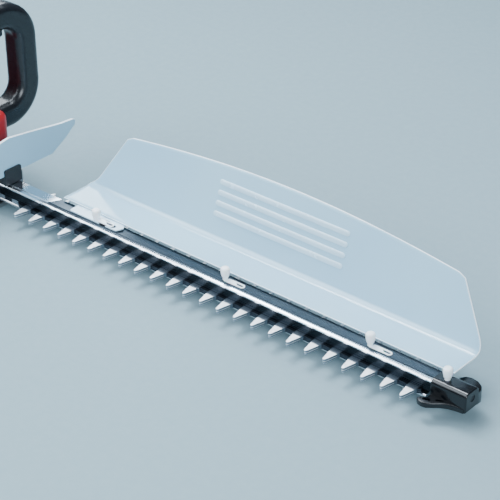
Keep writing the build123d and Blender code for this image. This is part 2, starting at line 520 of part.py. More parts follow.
# ---- front handle ---------------------------------------------------------------------------
def bail_solid(inset):
    """Front bail as one solid, shrunk by the inset."""
    z_mid, height = (BAIL_Z0 + BAIL_Z1) / 2, BAIL_Z1 - BAIL_Z0
    outer = Pos(0, z_mid) * RectangleRounded(2 * (BAIL_HALF - inset), height - 2 * inset, BAIL_R - inset)
    band = BAIL_BAND - inset
    radius = BAIL_R - BAIL_BAND + inset
    hole = Pos(0, z_mid) * RectangleRounded(2 * (BAIL_HALF - band), height - 2 * band, radius)
    half = BAIL_DEPTH / 2 - inset
    solid = plate_x(outer - hole, BAIL_X - half, BAIL_X + half)
    rims = solid.faces().sort_by(Axis.X)[0].edges() + solid.faces().sort_by(Axis.X)[-1].edges()
    return fillet(rims, 8 - inset)


def front_handle():
    """Two bail shells, the switch bar in the top grip, its springs, the switch and screws."""
    outer = bail_solid(0)
    shell = outer - bail_solid(WALL)
    x0, x1 = BAIL_X - BAIL_DEPTH / 2, BAIL_X + BAIL_DEPTH / 2
    under = BAIL_Z1 - BAIL_BAND
    for y, z in BAIL_SCREWS:
        shell += rod_x(4.6, x0, x1, y, z) & outer
    shell -= block(x0 - 5, x1 + 5, -NOSE_HALF, NOSE_HALF, BAIL_Z0 - 5, NOSE_TOP)
    slot = BAR_HALF + CLEAR
    shell -= block(BAIL_X - 6 - CLEAR, BAIL_X + 6 + CLEAR, -slot, slot, under - 5, under + 4)
    screws = Part()
    for y, z in BAIL_SCREWS:
        shell -= rod_x(1.8, x0 - 1, x1 - 4, y, z) + rod_x(3.6, x0 - 1, x0 + 4, y, z)
        screws += rod_x(1.8, x0 + 4, x1 - 5, y, z) + rod_x(3.4, x0 + 1.6, x0 + 4, y, z)
    keep("front_handle_front", shell & block(BAIL_X, BAIL_X + 30, -100, 100, 40, 210))
    keep("front_handle_rear", shell & block(BAIL_X - 30, BAIL_X, -100, 100, 40, 210))
    keep("front_handle_screws", screws)
    bar = block(BAIL_X - 6, BAIL_X + 6, -BAR_HALF, BAR_HALF, under - 8, under + 5)
    bar = fillet(bar.faces().sort_by(Axis.Z)[0].edges(), 3)
    bar += block(BAIL_X - 8.5, BAIL_X + 8.5, -BAR_HALF - 2, BAR_HALF + 2, under + 4.2, under + 6)
    bar += block(BAIL_X - 3, BAIL_X + 3, -4, 4, under + 6, under + 9)
    keep("front_switch_bar", bar)
    roof = BAIL_Z1 - WALL
    keep("front_switch", block(BAIL_X - 5, BAIL_X + 5, -10, 10, under + 9 + BAR_TRAVEL + 0.5, roof - 0.2))
    rise = roof - under - 7.0
    pair = [coil(3, 0.45, 2.4, rise - 0.6, Pos(BAIL_X, y, under + 6.8)) for y in (28, -28)]
    keep("front_switch_springs", Part() + pair)


def main():
    """Build every sub-part and write one STEP file for each."""
    keep("upper_blade", blade(UPPER_Z0))
    keep("lower_blade", blade(LOWER_Z0))
    keep("guide_rail", guide_rail())
    blade_fixings()
    end_cap()
    pegs()
    collector_pad()
    keep("clippings_collector", collector())
    drive_train()
    motor()
    gearbox()
    hand_guard()
    housing()
    controls()
    front_handle()
    os.makedirs("parts", exist_ok=True)
    for name, shape in PARTS.items():
        export_step(shape, f"parts/{name}.step")
        print(name, round(shape.volume), len(shape.solids()))


if __name__ == "__main__":
    main()
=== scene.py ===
"""Looks of a corded hedge trimmer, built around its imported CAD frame.

Each sub-assembly is a class. It copies or rebuilds the CAD pieces that need softer edges or thin
curved walls, dresses every node with a finish, and rides each new piece on its CAD body.
Sizes in the sub-assembly classes are in millimetres, and in the studio in metres.
"""
import json
import logging
import math
from dataclasses import dataclass, field
from enum import Enum
from typing import Callable, Dict, List, Optional, Sequence, Tuple, Union

import bmesh
import bpy
from mathutils import Matrix, Vector

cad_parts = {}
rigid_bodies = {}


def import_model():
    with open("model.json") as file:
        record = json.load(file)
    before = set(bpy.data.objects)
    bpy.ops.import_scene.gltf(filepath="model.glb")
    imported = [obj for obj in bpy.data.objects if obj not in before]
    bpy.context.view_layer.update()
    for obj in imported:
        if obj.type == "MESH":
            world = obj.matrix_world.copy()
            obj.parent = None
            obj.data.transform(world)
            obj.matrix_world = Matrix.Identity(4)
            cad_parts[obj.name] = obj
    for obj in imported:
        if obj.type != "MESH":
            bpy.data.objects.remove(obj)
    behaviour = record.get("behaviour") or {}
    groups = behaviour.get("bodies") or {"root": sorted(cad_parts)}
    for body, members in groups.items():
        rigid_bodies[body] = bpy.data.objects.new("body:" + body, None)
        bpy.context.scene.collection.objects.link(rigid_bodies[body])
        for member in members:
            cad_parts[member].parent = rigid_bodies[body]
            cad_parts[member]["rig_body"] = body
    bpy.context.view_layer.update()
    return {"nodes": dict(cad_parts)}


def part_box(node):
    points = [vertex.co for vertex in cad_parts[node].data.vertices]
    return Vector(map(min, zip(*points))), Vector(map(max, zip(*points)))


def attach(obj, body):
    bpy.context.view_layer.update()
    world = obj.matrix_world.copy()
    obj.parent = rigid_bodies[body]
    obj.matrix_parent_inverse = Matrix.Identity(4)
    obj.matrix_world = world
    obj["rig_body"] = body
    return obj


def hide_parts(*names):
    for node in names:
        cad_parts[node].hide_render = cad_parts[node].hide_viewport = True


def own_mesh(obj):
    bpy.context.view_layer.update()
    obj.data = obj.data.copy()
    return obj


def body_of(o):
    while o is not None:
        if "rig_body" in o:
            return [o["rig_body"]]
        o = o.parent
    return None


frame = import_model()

LOG = logging.getLogger("hedge_trimmer")
MM = 0.001
WAVE_TURN = 2 * math.pi / 20    # wave texture scale that gives one band per unit
WELD_MM = 0.004                 # vertices closer than this are one
FLAT_DEGREES = 0.6              # facets that meet at less than this are one face
MIX_SHARE, MIX_UNDER, MIX_OVER = 0, 6, 7    # colour inputs of a mix node, which share their names
MIX_RESULT = 2                              # its colour output
Colour = Tuple[float, float, float, float]
Point = Tuple[float, float, float]
Key = Union[str, int]


# ---- small tools ----------------------------------------------------------------------------
def linear(code: str) -> Colour:
    """Turn an sRGB hex code into a linear colour.

    Args:
        code: Six hex digits with a leading hash.

    Returns:
        Linear red, green, blue and an alpha of one.
    """
    parts = [int(code[i:i + 2], 16) / 255 for i in (1, 3, 5)]
    out = [c / 12.92 if c <= 0.04045 else ((c + 0.055) / 1.055) ** 2.4 for c in parts]
    return (out[0], out[1], out[2], 1.0)


def per_mm(size_mm: float) -> float:
    """Return the texture scale, in cycles per metre, of a pattern that repeats each size_mm."""
    return 1.0 / (size_mm * MM)


def add_node(tree: bpy.types.NodeTree, kind: str, settings: Optional[Dict[Key, object]] = None,
             links: Optional[Dict[Key, bpy.types.NodeSocket]] = None) -> bpy.types.Node:
    """Add one shader node.

    Args:
        tree: The node tree that takes the node.
        kind: The node's Blender type.
        settings: Attribute names, or input names or numbers, and their values.
        links: Input names or numbers and the sockets that feed them.

    Returns:
        The new node.
    """
    node = tree.nodes.new(kind)
    for name, value in (settings or {}).items():
        if isinstance(name, str) and hasattr(node, name):
            setattr(node, name, value)
        else:
            node.inputs[name].default_value = value
    for name, socket in (links or {}).items():
        tree.links.new(socket, node.inputs[name])
    return node


def node_object(name: str) -> bpy.types.Object:
    """Return the CAD node of that name."""
    return frame["nodes"][name]


def new_object(name: str, mesh: bpy.types.Mesh) -> bpy.types.Object:
    """Link a mesh into the scene.

    Args:
        name: Name of the object.
        mesh: The mesh it shows.

    Returns:
        The new object.
    """
    piece = bpy.data.objects.new(name, mesh)
    bpy.context.scene.collection.objects.link(piece)
    return piece


def bake_modifiers(piece: bpy.types.Object) -> None:
    """Turn the modifiers of a piece into its plain mesh.

    Args:
        piece: The piece to change.
    """
    graph = bpy.context.evaluated_depsgraph_get()
    mesh = bpy.data.meshes.new_from_object(piece.evaluated_get(graph))
    piece.modifiers.clear()
    piece.data = mesh


def smooth(piece: bpy.types.Object, angle: float = 38.0) -> None:
    """Shade a piece smooth and keep its sharp edges crisp.

    Args:
        piece: The piece to change.
        angle: Edges sharper than this, in degrees, stay crisp.
    """
    for polygon in piece.data.polygons:
        polygon.use_smooth = True
    piece.data.set_sharp_from_angle(angle=math.radians(angle))


def soften(piece: bpy.types.Object, width_mm: float, steps: int = 2, angle: float = 32.0) -> None:
    """Round the sharp edges of a piece, as moulding, deburring or grinding leaves them.

    Args:
        piece: The piece to change.
        width_mm: Width of the rounding.
        steps: Segments across the rounding.
        angle: Edges sharper than this, in degrees, are rounded.
    """
    bevel = piece.modifiers.new("edge", "BEVEL")
    bevel.width = width_mm * MM
    bevel.segments = steps
    bevel.limit_method = "ANGLE"
    bevel.angle_limit = math.radians(angle)
    bevel.miter_outer = "MITER_ARC"
    bake_modifiers(piece)
    smooth(piece)
    even = piece.modifiers.new("even", "WEIGHTED_NORMAL")
    even.keep_sharp = True
    bake_modifiers(piece)


def soft_copy(node: str, name: str, width_mm: float, steps: int = 2,
              cuts: Sequence[Tuple[Point, Point]] = ()) -> bpy.types.Object:
    """Copy a CAD node into a cleaned, edge-rounded piece that stands for it.

    Args:
        node: The CAD node.
        name: Name of the new piece.
        width_mm: Width of the edge rounding.
        steps: Segments across the rounding.
        cuts: Planes, as point in millimetres and normal, that split faces for painting.

    Returns:
        The new piece, riding on the node's body.
    """
    source = node_object(node)
    mesh = bpy.data.meshes.new(name)
    shape = bmesh.new()
    shape.from_mesh(source.data)
    bmesh.ops.remove_doubles(shape, verts=shape.verts, dist=WELD_MM * MM)
    bmesh.ops.dissolve_limit(shape, angle_limit=math.radians(FLAT_DEGREES), verts=shape.verts,
                             edges=shape.edges)
    for spot, normal in cuts:
        whole = list(shape.verts) + list(shape.edges) + list(shape.faces)
        bmesh.ops.bisect_plane(shape, geom=whole, plane_co=Vector(spot) * MM, plane_no=Vector(normal))
    shape.to_mesh(mesh)
    shape.free()
    mesh.materials.clear()
    piece = new_object(name, mesh)
    soften(piece, width_mm, steps)
    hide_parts(node)
    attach(piece, body_of(source)[0])
    return piece


def paint_faces(piece: bpy.types.Object, index: int,
                rule: Callable[[Vector, Vector], bool]) -> None:
    """Give a material index to the faces that a rule picks.

    Args:
        piece: The piece to change.
        index: The material index for the picked faces.
        rule: Takes a face's centre and normal and says whether it is picked.
    """
    for polygon in piece.data.polygons:
        if rule(polygon.center, polygon.normal):
            polygon.material_index = index


def strip(name: str, centre: Point, along: Vector, across: Vector, length: float, width: float,
          rise: float) -> bpy.types.Object:
    """Build a raised round-ended bar on a plane.

    Args:
        name: Name of the piece.
        centre: Middle of the bar on the plane, in metres.
        along: Unit direction of its length.
        across: Unit direction of its width.
        length: Length in metres.
        width: Width in metres.
        rise: Height in metres.

    Returns:
        The bar.
    """
    arc_steps = 8
    wall_share = 0.6
    round_over = 0.35 * rise + 0.4 * MM
    normal = along.cross(across).normalized()
    shape = bmesh.new()
    rings = []
    for level, shrink in ((0.0, 0.0), (rise * wall_share, 0.0), (rise, round_over)):
        ring = []
        for side in (1, -1):
            for k in range(arc_steps + 1):
                a = math.pi * (k / arc_steps - 0.5)
                r = width / 2 - shrink
                x = side * ((length - width) / 2 + r * math.cos(a))
                y = side * r * math.sin(a)
                ring.append(shape.verts.new(Vector(centre) + along * x + across * y + normal * level))
        rings.append(ring)
    for low, high in zip(rings, rings[1:]):
        for k in range(len(low)):
            n = (k + 1) % len(low)
            shape.faces.new((low[k], low[n], high[n], high[k]))
    shape.faces.new(rings[-1])
    shape.faces.new(list(reversed(rings[0])))
    mesh = bpy.data.meshes.new(name)
    shape.to_mesh(mesh)
    shape.free()
    piece = new_object(name, mesh)
    smooth(piece, 30)
    return piece


# ---- finishes -------------------------------------------------------------------------------
class Grain(Enum):
    """How a surface was made, and so how its fine relief runs."""

    MOULDED = "fine spark-eroded texture"
    POLISHED = "nearly smooth, with faint waviness"
    BRUSHED = "long scratches along X"
    TURNED = "fine rings across the axis"
    CAST = "blasted, slightly pitted"
    LAYERED = "stacked sheets along Z"
    WOUND = "turns of wire"
    FELTED = "matted fibres"
    RIBBED = "raised grip lines"


# How far each grain is drawn out along X, Y and Z: a small share makes it long.
STRETCH = {Grain.BRUSHED: (0.012, 1.0, 1.0), Grain.LAYERED: (0.0, 0.0, 1.0), Grain.WOUND: (0.15, 0.15, 1.0)}
EVEN_STRETCH = (1.0, 1.0, 1.0)
WAVED = (Grain.LAYERED, Grain.WOUND, Grain.TURNED, Grain.RIBBED)
DETAILED = (Grain.CAST, Grain.BRUSHED)
COAT_ROUGHNESS = 0.06
SUBSURFACE_MM = 2.0             # how far light passes into a soft plastic
WORN_EDGE = "#E9EDF0"           # bare metal where an edge is rubbed
RUBBED = (0.52, 0.60)           # pointiness from which an edge wears, and where it is bare
REFLECTION_PATCH = (0.42, 0.62)            # soft shoulder of a painted reflection patch on the band wave
TONES = (0.3, 0.7)              # where the drift turns from the shade to the colour
GLOSS_SPREAD = (0.85, 1.2)      # roughness at the pattern's hollows and crests, as shares


@dataclass(frozen=True)
class Finish:
    """One material, or a copy of one painted lit or shaded, and how its surface was made."""

    name: str
    colour: str
    shade: str
    roughness: float
    metallic: float = 0.0
    ior: Optional[float] = None
    grain: Grain = Grain.MOULDED
    grain_mm: float = 1.0
    relief: float = 0.1
    relief_mm: float = 0.05
    variation_mm: float = 40.0
    wear: float = 0.0
    coat: float = 0.0
    sheen: float = 0.0
    transmission: float = 0.0
    subsurface: float = 0.0
    anisotropic: float = 0.0
    # The band colour paints reflection patches across X.
    band: str = ""
    band_mm: float = 20.0
    band_phase: float = 0.0

    def _painted_reflection_bands(self, tree: bpy.types.NodeTree, colour: bpy.types.NodeSocket) -> bpy.types.NodeSocket:
        """Lay soft-edged patches of painted reflection, in the band colour, across X.

        Args:
            tree: The material's node tree.
            colour: The colour between the patches.

        Returns:
            The colour with its patches.
        """
        place = add_node(tree, "ShaderNodeTexCoord").outputs["Object"]
        wave = add_node(tree, "ShaderNodeTexWave", {
            "wave_type": "BANDS", "bands_direction": "X", "Scale": per_mm(self.band_mm) * WAVE_TURN,
            "Phase Offset": self.band_phase}, {"Vector": place})
        edge = add_node(tree, "ShaderNodeMapRange", {"From Min": REFLECTION_PATCH[0], "From Max": REFLECTION_PATCH[1]},
                        {"Value": wave.outputs["Fac"]})
        mixed = add_node(tree, "ShaderNodeMix", {"data_type": "RGBA", MIX_OVER: linear(self.band)},
                         {MIX_SHARE: edge.outputs["Result"], MIX_UNDER: colour})
        return mixed.outputs[MIX_RESULT]

    def _worn(self, tree: bpy.types.NodeTree, colour: bpy.types.NodeSocket) -> bpy.types.NodeSocket:
        """Let bare metal show where edges are rubbed.

        Args:
            tree: The material's node tree.
            colour: The colour of the rest.

        Returns:
            The colour with its rubbed edges.
        """
        edge = add_node(tree, "ShaderNodeNewGeometry").outputs["Pointiness"]
        rubbed = add_node(tree, "ShaderNodeMapRange",
                          {"From Min": RUBBED[0], "From Max": RUBBED[1], "To Min": 0.0,
                           "To Max": self.wear}, {"Value": edge})
        mixed = add_node(tree, "ShaderNodeMix", {"data_type": "RGBA", MIX_OVER: linear(WORN_EDGE)},
                         {MIX_SHARE: rubbed.outputs["Result"], MIX_UNDER: colour})
        return mixed.outputs[MIX_RESULT]

    def _pattern(self, tree: bpy.types.NodeTree) -> bpy.types.NodeSocket:
        """Build the fine relief pattern of the grain.

        Args:
            tree: The material's node tree.

        Returns:
            A height between zero and one.
        """
        place = add_node(tree, "ShaderNodeTexCoord").outputs["Object"]
        scale = per_mm(self.grain_mm)
        stretch = STRETCH.get(self.grain, EVEN_STRETCH)
        spot = add_node(tree, "ShaderNodeMapping", {"Scale": stretch}, {"Vector": place})
        if self.grain in WAVED:
            wave = add_node(tree, "ShaderNodeTexWave", {
                "wave_type": "BANDS", "bands_direction": "X" if self.grain is Grain.RIBBED else "Z",
                "Scale": scale * WAVE_TURN, "Distortion": 0.6 if self.grain is Grain.WOUND else 0.0},
                {"Vector": spot.outputs["Vector"]})
            return wave.outputs["Fac"]
        if self.grain is Grain.FELTED:
            fibres = add_node(tree, "ShaderNodeTexVoronoi", {"feature": "F1", "Scale": scale},
                              {"Vector": spot.outputs["Vector"]})
            return fibres.outputs["Distance"]
        detail = 6.0 if self.grain in DETAILED else 2.0
        noise = add_node(tree, "ShaderNodeTexNoise", {"Scale": scale, "Detail": detail, "Roughness": 0.55},
                         {"Vector": spot.outputs["Vector"]})
        return noise.outputs["Fac"]

    def material(self) -> bpy.types.Material:
        """Make the Blender material of this finish on first use.

        Returns:
            The material.
        """
        known = bpy.data.materials.get(self.name)
        if known is not None:
            return known
        made = bpy.data.materials.new(self.name)
        made.use_nodes = True
        tree = made.node_tree
        tree.nodes.clear()
        height = self._pattern(tree)
        place = add_node(tree, "ShaderNodeTexCoord").outputs["Object"]
        drift = add_node(tree, "ShaderNodeTexNoise",
                         {"Scale": per_mm(self.variation_mm), "Detail": 3.0}, {"Vector": place})
        tone = add_node(tree, "ShaderNodeValToRGB", {}, {"Fac": drift.outputs["Fac"]})
        for element, position, code in zip(tone.color_ramp.elements, TONES, (self.shade, self.colour)):
            element.position = position
            element.color = linear(code)
        colour = tone.outputs["Color"]
        if self.band:
            colour = self._painted_reflection_bands(tree, colour)
        if self.wear > 0:
            colour = self._worn(tree, colour)
        gloss = add_node(tree, "ShaderNodeMapRange",
                         {"From Min": 0.25, "From Max": 0.75,
                          "To Min": self.roughness * GLOSS_SPREAD[0],
                          "To Max": min(1.0, self.roughness * GLOSS_SPREAD[1])}, {"Value": height})
        bump = add_node(tree, "ShaderNodeBump",
                        {"Strength": self.relief, "Distance": self.relief_mm * MM}, {"Height": height})
        fixed = {"Metallic": self.metallic, "Coat Weight": self.coat,
                 "Coat Roughness": COAT_ROUGHNESS, "Sheen Weight": self.sheen,
                 "Transmission Weight": self.transmission, "Subsurface Weight": self.subsurface,
                 "Subsurface Scale": SUBSURFACE_MM * MM, "Anisotropic": self.anisotropic}
        if self.ior is not None:
            fixed["IOR"] = self.ior
        shader = add_node(tree, "ShaderNodeBsdfPrincipled", fixed,
                          {"Base Color": colour, "Roughness": gloss.outputs["Result"],
                           "Normal": bump.outputs["Normal"]})
        add_node(tree, "ShaderNodeOutputMaterial", {}, {"Surface": shader.outputs["BSDF"]})
        return made


# Real scratches, blasting and spark-eroded textures are mostly under 0.2 mm, too fine to show. They
# are drawn at 0.5 to 1.4 mm, as coarse as they need to show.

# Ground carbon steel, painted near white on the teeth's flat faces as a painted highlight, with faint
# cross-grinding that spreads the highlights.
LIT_TOOTH_STEEL = Finish("tooth_steel_painted_highlight", "#FDFEFF", "#F8FAFC", 0.48, 1.0, grain=Grain.BRUSHED,
                     grain_mm=0.6, relief=0.10, relief_mm=0.02, variation_mm=25)
# The blade's flat and the teeth's sides are painted dark as painted shade and reflection, with paler painted
# reflection patches at the tooth roots.
SHADED_BLADE_STEEL = Finish("blade_steel_painted_shade_and_reflections", "#3A4048", "#2A2F36", 0.30, 1.0, grain=Grain.BRUSHED,
                     grain_mm=0.6, relief=0.12, relief_mm=0.02, variation_mm=25, band="#98A3AE",
                     band_phase=4.712)
# Anodised aluminium, brushed lengthways: a cool grey whose highlight spreads across the rail.
RAIL_ALUMINIUM = Finish("brushed_anodised_aluminium", "#48525B", "#3D474F", 0.28, 1.0,
                        grain=Grain.BRUSHED, grain_mm=0.7, relief=0.25, relief_mm=0.03,
                        variation_mm=60, anisotropic=0.4)
# The rail's wall under the lips, where the blades run, is painted near black as painted shade: it mirrors
# only the blades, dimly.
SHADED_RAIL_WALL = Finish("rail_wall_painted_shade", "#20262C", "#181D22", 0.26, 1.0, grain=Grain.BRUSHED,
                   grain_mm=0.7, relief=0.1, relief_mm=0.02)
# The same extrusion, polished on its lips, is painted near white there, on its bead and on its bare end as a
# painted highlight of the light these faces mirror as a white line.
RAIL_PAINTED_HIGHLIGHT = Finish("aluminium_lip_painted_highlight", "#EEF2F6", "#DDE4EB", 0.14, 1.0,
                       grain=Grain.BRUSHED, grain_mm=0.5, relief=0.06, relief_mm=0.02)
# Moulded frosted polycarbonate: milky, light blue, lets the pad behind it show faintly.
CLEAR_SHEET = Finish("frosted_polycarbonate_sheet", "#A8D0E3", "#9CC6DE", 0.20, ior=1.58,
                     grain=Grain.POLISHED, grain_mm=9.0, relief=0.02, relief_mm=0.05,
                     variation_mm=160, transmission=0.14, coat=0.3)
# The sheet's cut edges are painted near white as a painted highlight of the light they gather, so they read
# as a thin white rim.
LIT_CUT_EDGE = Finish("cut_edge_painted_highlight", "#F7FBFF", "#EAF4FC", 0.35, ior=1.58,
                  grain=Grain.POLISHED, grain_mm=3.0, relief=0.05, transmission=0.1)
# Raised bars of the same moulding: thicker, so a little paler.
RAISED_BAR = Finish("raised_polycarbonate", "#C6E1EF", "#BCD8EA", 0.24, ior=1.58,
                    grain=Grain.POLISHED, grain_mm=9.0, relief=0.02, transmission=0.1, coat=0.3)
# Natural polypropylene, moulded: soft white with light passing a little way in.
WHITE_PEG = Finish("natural_white_polypropylene", "#F4F7F9", "#E6EDF2", 0.32, ior=1.49,
                   grain=Grain.POLISHED, grain_mm=4.0, relief=0.1, subsurface=0.15)
# Gloss black ABS, polished mould: narrow soft reflections on near black.
GLOSS_BLACK = Finish("gloss_black_abs", "#06080C", "#04060A", 0.20, ior=1.46, grain=Grain.POLISHED,
                     grain_mm=5.0, relief=0.04, relief_mm=0.04)
# Glass-filled nylon, spark-eroded mould: dark and finely matt.
MATT_BLACK = Finish("textured_black_nylon", "#10161D", "#0B1016", 0.46, ior=1.53, grain_mm=0.9,
                    relief=0.35, relief_mm=0.06)
# Satin black handle moulding with a cool cast.
HANDLE_BLACK = Finish("satin_black_abs", "#090D14", "#06090E", 0.30, ior=1.54, grain_mm=1.1,
                      relief=0.16, relief_mm=0.04)
# Pigmented ABS shells, lightly textured in the mould.
RED_SHELL = Finish("textured_red_abs", "#A8161D", "#96121A", 0.38, ior=1.54, grain_mm=1.0,
                   relief=0.22, relief_mm=0.05, variation_mm=90, coat=0.08)
# Over-moulded thermoplastic rubber with raised grip lines.
GRIP_RUBBER = Finish("ribbed_soft_rubber", "#1A1B1D", "#121315", 0.72, ior=1.52, grain=Grain.RIBBED,
                     grain_mm=3.0, relief=0.8, relief_mm=0.5)
# Die-cast aluminium, shot-blasted: dull grey with a fine sparkle.
CAST_ALLOY = Finish("die_cast_aluminium", "#8E9297", "#7C8085", 0.46, 1.0, grain=Grain.CAST,
                    grain_mm=1.4, relief=0.4, relief_mm=0.12, wear=0.4)
# Zinc-plated steel fastener: pale and slightly mottled.
ZINC = Finish("zinc_plated_steel", "#C3C7CA", "#AEB3B8", 0.30, 1.0, grain=Grain.CAST, grain_mm=1.0,
              relief=0.12)
# Turned and hardened steel of shafts, gears and eccentrics.
TURNED_STEEL = Finish("turned_hardened_steel", "#A5A8AC", "#8F9397", 0.26, 1.0, grain=Grain.TURNED,
                      grain_mm=0.8, relief=0.2, relief_mm=0.03)
# Bearing races, ground: brighter than the shafts.
RACE_STEEL = Finish("ground_bearing_steel", "#C9CCCF", "#B8BCC0", 0.18, 1.0, grain=Grain.TURNED,
                    grain_mm=0.7, relief=0.08, relief_mm=0.02)
# Music wire of the small springs.
SPRING_WIRE = Finish("drawn_spring_wire", "#9FA3A7", "#878B8F", 0.32, 1.0, grain=Grain.POLISHED,
                     grain_mm=0.6)
# Stacked electrical steel sheets: dark, with fine lines between the layers.
LAMINATIONS = Finish("laminated_electrical_steel", "#6E7175", "#5C5F63", 0.42, 1.0,
                     grain=Grain.LAYERED, grain_mm=1.0, relief=0.6, relief_mm=0.1)
# Enamelled copper wire, wound: glossy orange-brown turns.
WOUND_COPPER = Finish("enamelled_copper_winding", "#B5642E", "#8F4A1F", 0.28, 0.7, grain=Grain.WOUND,
                      grain_mm=1.2, relief=0.9, relief_mm=0.3, coat=0.3)
# Commutator copper, turned bright.
BRIGHT_COPPER = Finish("turned_copper", "#C9794A", "#B86B3E", 0.24, 1.0, grain=Grain.TURNED,
                       grain_mm=0.8, relief=0.15, relief_mm=0.03)
# Oil-filled sintered bronze of the lower bush.
BRONZE = Finish("sintered_bronze", "#A9824A", "#8E6B3A", 0.44, 1.0, grain=Grain.CAST, grain_mm=0.8,
                relief=0.4)
# Pressed wool felt of the shaft seal.
FELT = Finish("pressed_wool_felt", "#B9B3A4", "#A29C8C", 0.95, ior=1.45, grain=Grain.FELTED,
              grain_mm=0.9, relief=0.9, relief_mm=0.3, sheen=0.4)
# Carbon brush blocks: dull black-grey.
CARBON = Finish("pressed_carbon", "#2A2B2D", "#1E1F21", 0.62, grain=Grain.CAST, grain_mm=0.8,
                relief=0.3)
# Phenolic brush holders, compression-moulded.
PHENOLIC = Finish("moulded_phenolic", "#4A3424", "#3B291B", 0.40, ior=1.60, grain_mm=0.9)
# Plain black nylon of fan and switch bodies.
BLACK_NYLON = Finish("plain_black_nylon", "#202225", "#17191B", 0.42, ior=1.53, grain_mm=1.0)
# Boxed film capacitor: yellow polyester case.
FILM_CASE = Finish("yellow_polyester_case", "#D8B24A", "#C79F38", 0.35, ior=1.57,
                   grain=Grain.POLISHED, grain_mm=4.0)
# Painted studio floor and its even, very fine texture.
FLOOR_PAINT = Finish("pale_matt_floor", "#80979F", "#7D949D", 0.75, ior=1.45, grain_mm=8.0,
                     relief=0.02, variation_mm=900)


def dress(piece: bpy.types.Object, *finishes: Finish) -> None:
    """Put finishes on a piece.

    Args:
        piece: The piece to dress.
        finishes: Its finishes, in the order of its material indices.
    """
    piece.data.materials.clear()
    for finish in finishes:
        piece.data.materials.append(finish.material())


def dress_nodes(finish: Finish, *nodes: str) -> None:
    """Put one finish on CAD nodes that stay as they are.

    Args:
        finish: The finish.
        nodes: Names of the CAD nodes.
    """
    for name in nodes:
        piece = node_object(name)
        for slot in piece.material_slots:
            slot.material = finish.material()
        if not piece.material_slots:
            piece.data.materials.append(finish.material())


def spring_copy(node: str, name: str) -> bpy.types.Object:
    """Copy an upright coil spring into a plain piece with its own mesh.

    Args:
        node: The CAD node.
        name: Name of the new piece.

    Returns:
        The new piece, riding on the body that holds the fixed end.
    """
    source = node_object(node)
    mesh = source.data.copy()
    mesh.name = name
    mesh.materials.clear()
    piece = new_object(name, mesh)
    dress(piece, SPRING_WIRE)
    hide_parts(node)
    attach(piece, body_of(source)[0])
    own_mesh(piece)
    return piece


def report(part: str, pieces: Sequence[str]) -> None:
    """Log the pieces that a sub-assembly made or dressed."""
    for name in pieces:
        LOG.info("%s: %s", part, name)


# ---- sub-assemblies -------------------------------------------------------------------------
@dataclass
class CuttingGear:
    """Rail, blades, support bar, their fixings and the end cap."""

    lip_y: float = 7.2
    lip_deep: float = 3.2
    lip_foot: float = 3.6
    bead: Tuple[float, float] = (-8.2, -5.9)
    bead_deep: float = 1.4
    bare_slope: float = 0.5
    tooth_root: float = 13.6
    # Tooth faces that face up or down more than this take the painted highlight.
    lit_face_facing: float = 0.3
    blade_edge: float = 0.55
    rail_edge: float = 0.1
    bar_edge: float = 0.3
    bare_end: float = 122.0
    cap_edge: float = 0.7

    def build(self) -> List[str]:
        """Build and dress the pieces.

        Returns:
            The names of the pieces.
        """
        made = []
        for node in ("upper_blade", "lower_blade"):
            edge = self.tooth_root
            piece = soft_copy(node, node + "_ground", self.blade_edge,
                              cuts=[((0, edge, 0), (0, 1, 0)), ((0, -edge, 0), (0, 1, 0))])
            dress(piece, SHADED_BLADE_STEEL, LIT_TOOTH_STEEL)
            # The teeth's flat faces take the painted highlight; their sides keep the painted shade of the
            # blade.
            paint_faces(piece, 1, lambda c, n: abs(c.y) > edge * MM and abs(n.z) > self.lit_face_facing)
            made.append(piece.name)
        rail = soft_copy("guide_rail", "rail_extrusion", self.rail_edge,
                         cuts=[((self.bare_end, 0, 0), (1, -self.bare_slope, 0))])
        dress(rail, RAIL_ALUMINIUM, RAIL_PAINTED_HIGHLIGHT, SHADED_RAIL_WALL)
        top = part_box("guide_rail")[1][2] / MM
        # Faces below the lips take the painted shade.
        paint_faces(rail, 2, lambda c, n: c.z < (top - self.lip_deep) * MM)
        # The lips, the bead and the bare end take the painted highlight.
        paint_faces(rail, 1, lambda c, n: self._takes_painted_highlight(c / MM, top))
        cap = soft_copy("end_cap", "cap_moulding", self.cap_edge, 3)
        dress(cap, GLOSS_BLACK)
        bar = soft_copy("blade_support_bar", "support_bar_rolled", self.bar_edge, 1)
        dress(bar, ZINC)
        dress_nodes(ZINC, "blade_screws", "blade_nuts")
        dress_nodes(MATT_BLACK, "end_cap_screw")
        dress_nodes(TURNED_STEEL, "blade_bushes")
        return made + [rail.name, cap.name, bar.name]

    def _takes_painted_highlight(self, centre: Vector, top: float) -> bool:
        """Tell whether a rail face belongs to a lip, its bead or the bare end, which take the painted
        highlight.

        Args:
            centre: The face's centre in millimetres.
            top: Height of the rail's top in millimetres.

        Returns:
            True for a face with the painted highlight.
        """
        on_lip = abs(centre.y) > self.lip_y and top - self.lip_foot < centre.z < top
        on_bead = self.bead[0] < centre.y < self.bead[1] and centre.z > top - self.bead_deep
        upper = centre.z > top - self.lip_deep
        bare = upper and centre.x - self.bare_slope * centre.y < self.bare_end
        return on_lip or on_bead or bare


